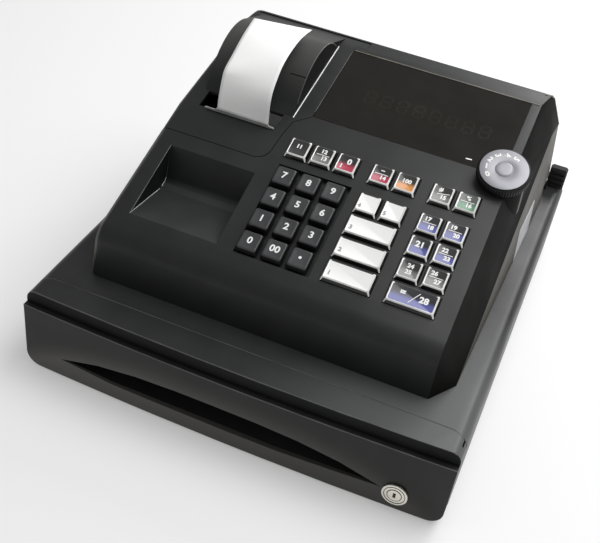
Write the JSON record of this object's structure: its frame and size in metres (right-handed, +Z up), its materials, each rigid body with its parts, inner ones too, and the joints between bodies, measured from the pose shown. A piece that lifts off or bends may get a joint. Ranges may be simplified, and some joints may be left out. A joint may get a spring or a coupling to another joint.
{
  "type": "cash register",
  "caption": "Small electronic cash register with key slope, mode dial, display window and receipt printer, on a cash drawer with a lock and finger pull.",
  "frame": {"origin": "middle of the footprint, at the underside of the feet", "axes": "+X to the right seen from the operator, +Y from the drawer front to the back, +Z up"},
  "size_m": [0.326, 0.361, 0.2092],
  "materials": {
    "cabinet_black": "fine moulded texture, low sheen",
    "housing_black": "fine moulded texture, low sheen",
    "inner_black": "plain moulded",
    "key_black": "satin",
    "key_clear": "clear cap over a printed insert",
    "key_white": "clear cap over a white insert",
    "insert_blue": "printed insert",
    "insert_grey": "printed insert",
    "insert_red": "printed insert",
    "insert_orange": "printed insert",
    "insert_green": "printed insert",
    "legend_white": "print",
    "legend_grey": "print",
    "window_smoked": "smoked, glossy",
    "dial_grey": "satin with a dark knurled rim",
    "label_plate": "blank plate",
    "nickel": "polished nickel",
    "steel": "plated sheet",
    "paper": "thermal paper",
    "clear_bar": "clear plastic",
    "tray_plastic": "moulded",
    "rubber": "matt",
    "board_green": "circuit board"
  },
  "bodies": {
    "cabinet": {"cabinet_base": "cabinet_black", "cabinet_top": "cabinet_black", "front_trim": "cabinet_black", "latch_solenoid": "steel", "drawer_spring": "steel", "register_base": "inner_black", "register_case": "housing_black", "display_window": "window_smoked", "display_board": "board_green", "key_board": "board_green", "mode_switch": "inner_black", "printer_frame": "inner_black", "transformer": "steel", "cord_gland": "rubber"},
    "drawer": {"drawer_front": "cabinet_black", "drawer_box": "steel", "cash_tray": "tray_plastic", "lock_barrel": "nickel"},
    "lock": {"lock_plug": "nickel"},
    "clip_1": {"bill_clip_1": "steel"},
    "clip_2": {"bill_clip_2": "steel"},
    "clip_3": {"bill_clip_3": "steel"},
    "latch": {"drawer_latch": "steel"},
    "cover": {"printer_cover": "housing_black", "tear_bar": "clear_bar", "paper_strip": "paper"},
    "roller": {"feed_roller": "rubber"},
    "roll": {"paper_roll": "paper"},
    "dial": {"mode_dial": "dial_grey"},
    "number_key_1": {"number_key_1": "key_black"},
    "number_key_2": {"number_key_2": "key_black"},
    "number_key_3": {"number_key_3": "key_black"},
    "number_key_4": {"number_key_4": "key_black"},
    "number_key_5": {"number_key_5": "key_black"},
    "number_key_6": {"number_key_6": "key_black"},
    "number_key_7": {"number_key_7": "key_black"},
    "number_key_8": {"number_key_8": "key_black"},
    "number_key_9": {"number_key_9": "key_black"},
    "number_key_10": {"number_key_10": "key_black"},
    "number_key_11": {"number_key_11": "key_black"},
    "number_key_12": {"number_key_12": "key_black"},
    "function_key_1": {"function_key_1": "key_clear"},
    "function_key_2": {"function_key_2": "key_clear"},
    "function_key_3": {"function_key_3": "key_clear"},
    "function_key_4": {"function_key_4": "key_clear"},
    "function_key_5": {"function_key_5": "key_clear"},
    "function_key_6": {"function_key_6": "key_clear"},
    "function_key_7": {"function_key_7": "key_clear"},
    "function_key_8": {"function_key_8": "key_clear"},
    "function_key_9": {"function_key_9": "key_clear"},
    "function_key_10": {"function_key_10": "key_clear"},
    "function_key_11": {"function_key_11": "key_clear"},
    "function_key_12": {"function_key_12": "key_clear"},
    "function_key_13": {"function_key_13": "key_clear"},
    "total_key": {"total_key": "key_clear"},
    "department_key_1": {"department_key_1": "key_white"},
    "department_key_2": {"department_key_2": "key_white"},
    "department_key_3": {"department_key_3": "key_white"},
    "department_key_4": {"department_key_4": "key_white"},
    "department_key_5": {"department_key_5": "key_white"}
  },
  "joints": [
    {"name": "drawer_slide", "type": "slide", "parent": "cabinet", "child": "drawer", "axis": [0, -1, 0], "range_m": [0, 0.2]},
    {"name": "lock_turn", "type": "hinge", "parent": "drawer", "child": "lock", "pos_m": [0.1281, -0.1665, 0.0175], "axis": [0, 1, 0], "range_deg": [0, 90]},
    {"name": "latch_turn", "type": "hinge", "parent": "cabinet", "child": "latch", "pos_m": [0, 0.1715, 0.028], "axis": [1, 0, 0], "range_deg": [0, 12], "stiffness_Nm_per_rad": 0.1},
    {"name": "cover_hinge", "type": "hinge", "parent": "cabinet", "child": "cover", "pos_m": [-0.07, 0.118, 0.17692], "axis": [-1, 0, 0], "range_deg": [0, 60]},
    {"name": "roller_spin", "type": "hinge", "parent": "cabinet", "child": "roller", "pos_m": [-0.076, 0.0025, 0.136], "axis": [1, 0, 0], "continuous": true},
    {"name": "roll_spin", "type": "hinge", "parent": "cabinet", "child": "roll", "pos_m": [-0.076, 0.0595, 0.144], "axis": [1, 0, 0], "continuous": true},
    {"name": "dial_turn", "type": "hinge", "parent": "cabinet", "child": "dial", "pos_m": [0.122, 0.01004, 0.16385], "axis": [0, -0.3665, 0.9304], "range_deg": [-60, 150]},
    {"name": "clip_1_hinge", "type": "hinge", "parent": "drawer", "child": "clip_1", "pos_m": [-0.09547, 0.1033, 0.022], "axis": [-1, 0, 0], "range_deg": [0, 60], "stiffness_Nm_per_rad": 0.05, "springref_deg": -20.05},
    {"name": "clip_2_hinge", "type": "hinge", "parent": "drawer", "child": "clip_2", "pos_m": [0, 0.1033, 0.022], "axis": [-1, 0, 0], "range_deg": [0, 60], "stiffness_Nm_per_rad": 0.05, "springref_deg": -20.05},
    {"name": "clip_3_hinge", "type": "hinge", "parent": "drawer", "child": "clip_3", "pos_m": [0.09547, 0.1033, 0.022], "axis": [-1, 0, 0], "range_deg": [0, 60], "stiffness_Nm_per_rad": 0.05, "springref_deg": -20.05},
    {"name": "number_key_1_press", "type": "slide", "parent": "cabinet", "child": "number_key_1", "axis": [0, 0.3665, -0.9304], "range_m": [0, 0.003], "stiffness_N_per_m": 150, "springref_m": -0.001},
    {"name": "number_key_2_press", "type": "slide", "parent": "cabinet", "child": "number_key_2", "axis": [0, 0.3665, -0.9304], "range_m": [0, 0.003], "stiffness_N_per_m": 150, "springref_m": -0.001},
    {"name": "number_key_3_press", "type": "slide", "parent": "cabinet", "child": "number_key_3", "axis": [0, 0.3665, -0.9304], "range_m": [0, 0.003], "stiffness_N_per_m": 150, "springref_m": -0.001},
    {"name": "number_key_4_press", "type": "slide", "parent": "cabinet", "child": "number_key_4", "axis": [0, 0.3665, -0.9304], "range_m": [0, 0.003], "stiffness_N_per_m": 150, "springref_m": -0.001},
    {"name": "number_key_5_press", "type": "slide", "parent": "cabinet", "child": "number_key_5", "axis": [0, 0.3665, -0.9304], "range_m": [0, 0.003], "stiffness_N_per_m": 150, "springref_m": -0.001},
    {"name": "number_key_6_press", "type": "slide", "parent": "cabinet", "child": "number_key_6", "axis": [0, 0.3665, -0.9304], "range_m": [0, 0.003], "stiffness_N_per_m": 150, "springref_m": -0.001},
    {"name": "number_key_7_press", "type": "slide", "parent": "cabinet", "child": "number_key_7", "axis": [0, 0.3665, -0.9304], "range_m": [0, 0.003], "stiffness_N_per_m": 150, "springref_m": -0.001},
    {"name": "number_key_8_press", "type": "slide", "parent": "cabinet", "child": "number_key_8", "axis": [0, 0.3665, -0.9304], "range_m": [0, 0.003], "stiffness_N_per_m": 150, "springref_m": -0.001},
    {"name": "number_key_9_press", "type": "slide", "parent": "cabinet", "child": "number_key_9", "axis": [0, 0.3665, -0.9304], "range_m": [0, 0.003], "stiffness_N_per_m": 150, "springref_m": -0.001},
    {"name": "number_key_10_press", "type": "slide", "parent": "cabinet", "child": "number_key_10", "axis": [0, 0.3665, -0.9304], "range_m": [0, 0.003], "stiffness_N_per_m": 150, "springref_m": -0.001},
    {"name": "number_key_11_press", "type": "slide", "parent": "cabinet", "child": "number_key_11", "axis": [0, 0.3665, -0.9304], "range_m": [0, 0.003], "stiffness_N_per_m": 150, "springref_m": -0.001},
    {"name": "number_key_12_press", "type": "slide", "parent": "cabinet", "child": "number_key_12", "axis": [0, 0.3665, -0.9304], "range_m": [0, 0.003], "stiffness_N_per_m": 150, "springref_m": -0.001},
    {"name": "function_key_1_press", "type": "slide", "parent": "cabinet", "child": "function_key_1", "axis": [0, 0.3665, -0.9304], "range_m": [0, 0.003], "stiffness_N_per_m": 150, "springref_m": -0.001},
    {"name": "function_key_2_press", "type": "slide", "parent": "cabinet", "child": "function_key_2", "axis": [0, 0.3665, -0.9304], "range_m": [0, 0.003], "stiffness_N_per_m": 150, "springref_m": -0.001},
    {"name": "function_key_3_press", "type": "slide", "parent": "cabinet", "child": "function_key_3", "axis": [0, 0.3665, -0.9304], "range_m": [0, 0.003], "stiffness_N_per_m": 150, "springref_m": -0.001},
    {"name": "function_key_4_press", "type": "slide", "parent": "cabinet", "child": "function_key_4", "axis": [0, 0.3665, -0.9304], "range_m": [0, 0.003], "stiffness_N_per_m": 150, "springref_m": -0.001},
    {"name": "function_key_5_press", "type": "slide", "parent": "cabinet", "child": "function_key_5", "axis": [0, 0.3665, -0.9304], "range_m": [0, 0.003], "stiffness_N_per_m": 150, "springref_m": -0.001},
    {"name": "function_key_6_press", "type": "slide", "parent": "cabinet", "child": "function_key_6", "axis": [0, 0.3665, -0.9304], "range_m": [0, 0.003], "stiffness_N_per_m": 150, "springref_m": -0.001},
    {"name": "function_key_7_press", "type": "slide", "parent": "cabinet", "child": "function_key_7", "axis": [0, 0.3665, -0.9304], "range_m": [0, 0.003], "stiffness_N_per_m": 150, "springref_m": -0.001},
    {"name": "function_key_8_press", "type": "slide", "parent": "cabinet", "child": "function_key_8", "axis": [0, 0.3665, -0.9304], "range_m": [0, 0.003], "stiffness_N_per_m": 150, "springref_m": -0.001},
    {"name": "function_key_9_press", "type": "slide", "parent": "cabinet", "child": "function_key_9", "axis": [0, 0.3665, -0.9304], "range_m": [0, 0.003], "stiffness_N_per_m": 150, "springref_m": -0.001},
    {"name": "function_key_10_press", "type": "slide", "parent": "cabinet", "child": "function_key_10", "axis": [0, 0.3665, -0.9304], "range_m": [0, 0.003], "stiffness_N_per_m": 150, "springref_m": -0.001},
    {"name": "function_key_11_press", "type": "slide", "parent": "cabinet", "child": "function_key_11", "axis": [0, 0.3665, -0.9304], "range_m": [0, 0.003], "stiffness_N_per_m": 150, "springref_m": -0.001},
    {"name": "function_key_12_press", "type": "slide", "parent": "cabinet", "child": "function_key_12", "axis": [0, 0.3665, -0.9304], "range_m": [0, 0.003], "stiffness_N_per_m": 150, "springref_m": -0.001},
    {"name": "function_key_13_press", "type": "slide", "parent": "cabinet", "child": "function_key_13", "axis": [0, 0.3665, -0.9304], "range_m": [0, 0.003], "stiffness_N_per_m": 150, "springref_m": -0.001},
    {"name": "total_key_press", "type": "slide", "parent": "cabinet", "child": "total_key", "axis": [0, 0.3665, -0.9304], "range_m": [0, 0.003], "stiffness_N_per_m": 150, "springref_m": -0.001},
    {"name": "department_key_1_press", "type": "slide", "parent": "cabinet", "child": "department_key_1", "axis": [0, 0.3665, -0.9304], "range_m": [0, 0.003], "stiffness_N_per_m": 150, "springref_m": -0.001},
    {"name": "department_key_2_press", "type": "slide", "parent": "cabinet", "child": "department_key_2", "axis": [0, 0.3665, -0.9304], "range_m": [0, 0.003], "stiffness_N_per_m": 150, "springref_m": -0.001},
    {"name": "department_key_3_press", "type": "slide", "parent": "cabinet", "child": "department_key_3", "axis": [0, 0.3665, -0.9304], "range_m": [0, 0.003], "stiffness_N_per_m": 150, "springref_m": -0.001},
    {"name": "department_key_4_press", "type": "slide", "parent": "cabinet", "child": "department_key_4", "axis": [0, 0.3665, -0.9304], "range_m": [0, 0.003], "stiffness_N_per_m": 150, "springref_m": -0.001},
    {"name": "department_key_5_press", "type": "slide", "parent": "cabinet", "child": "department_key_5", "axis": [0, 0.3665, -0.9304], "range_m": [0, 0.003], "stiffness_N_per_m": 150, "springref_m": -0.001}
  ],
  "couplings": [
    {"joint": "roller_spin", "follows": "roll_spin", "ratio": 5.4286}
  ]
}
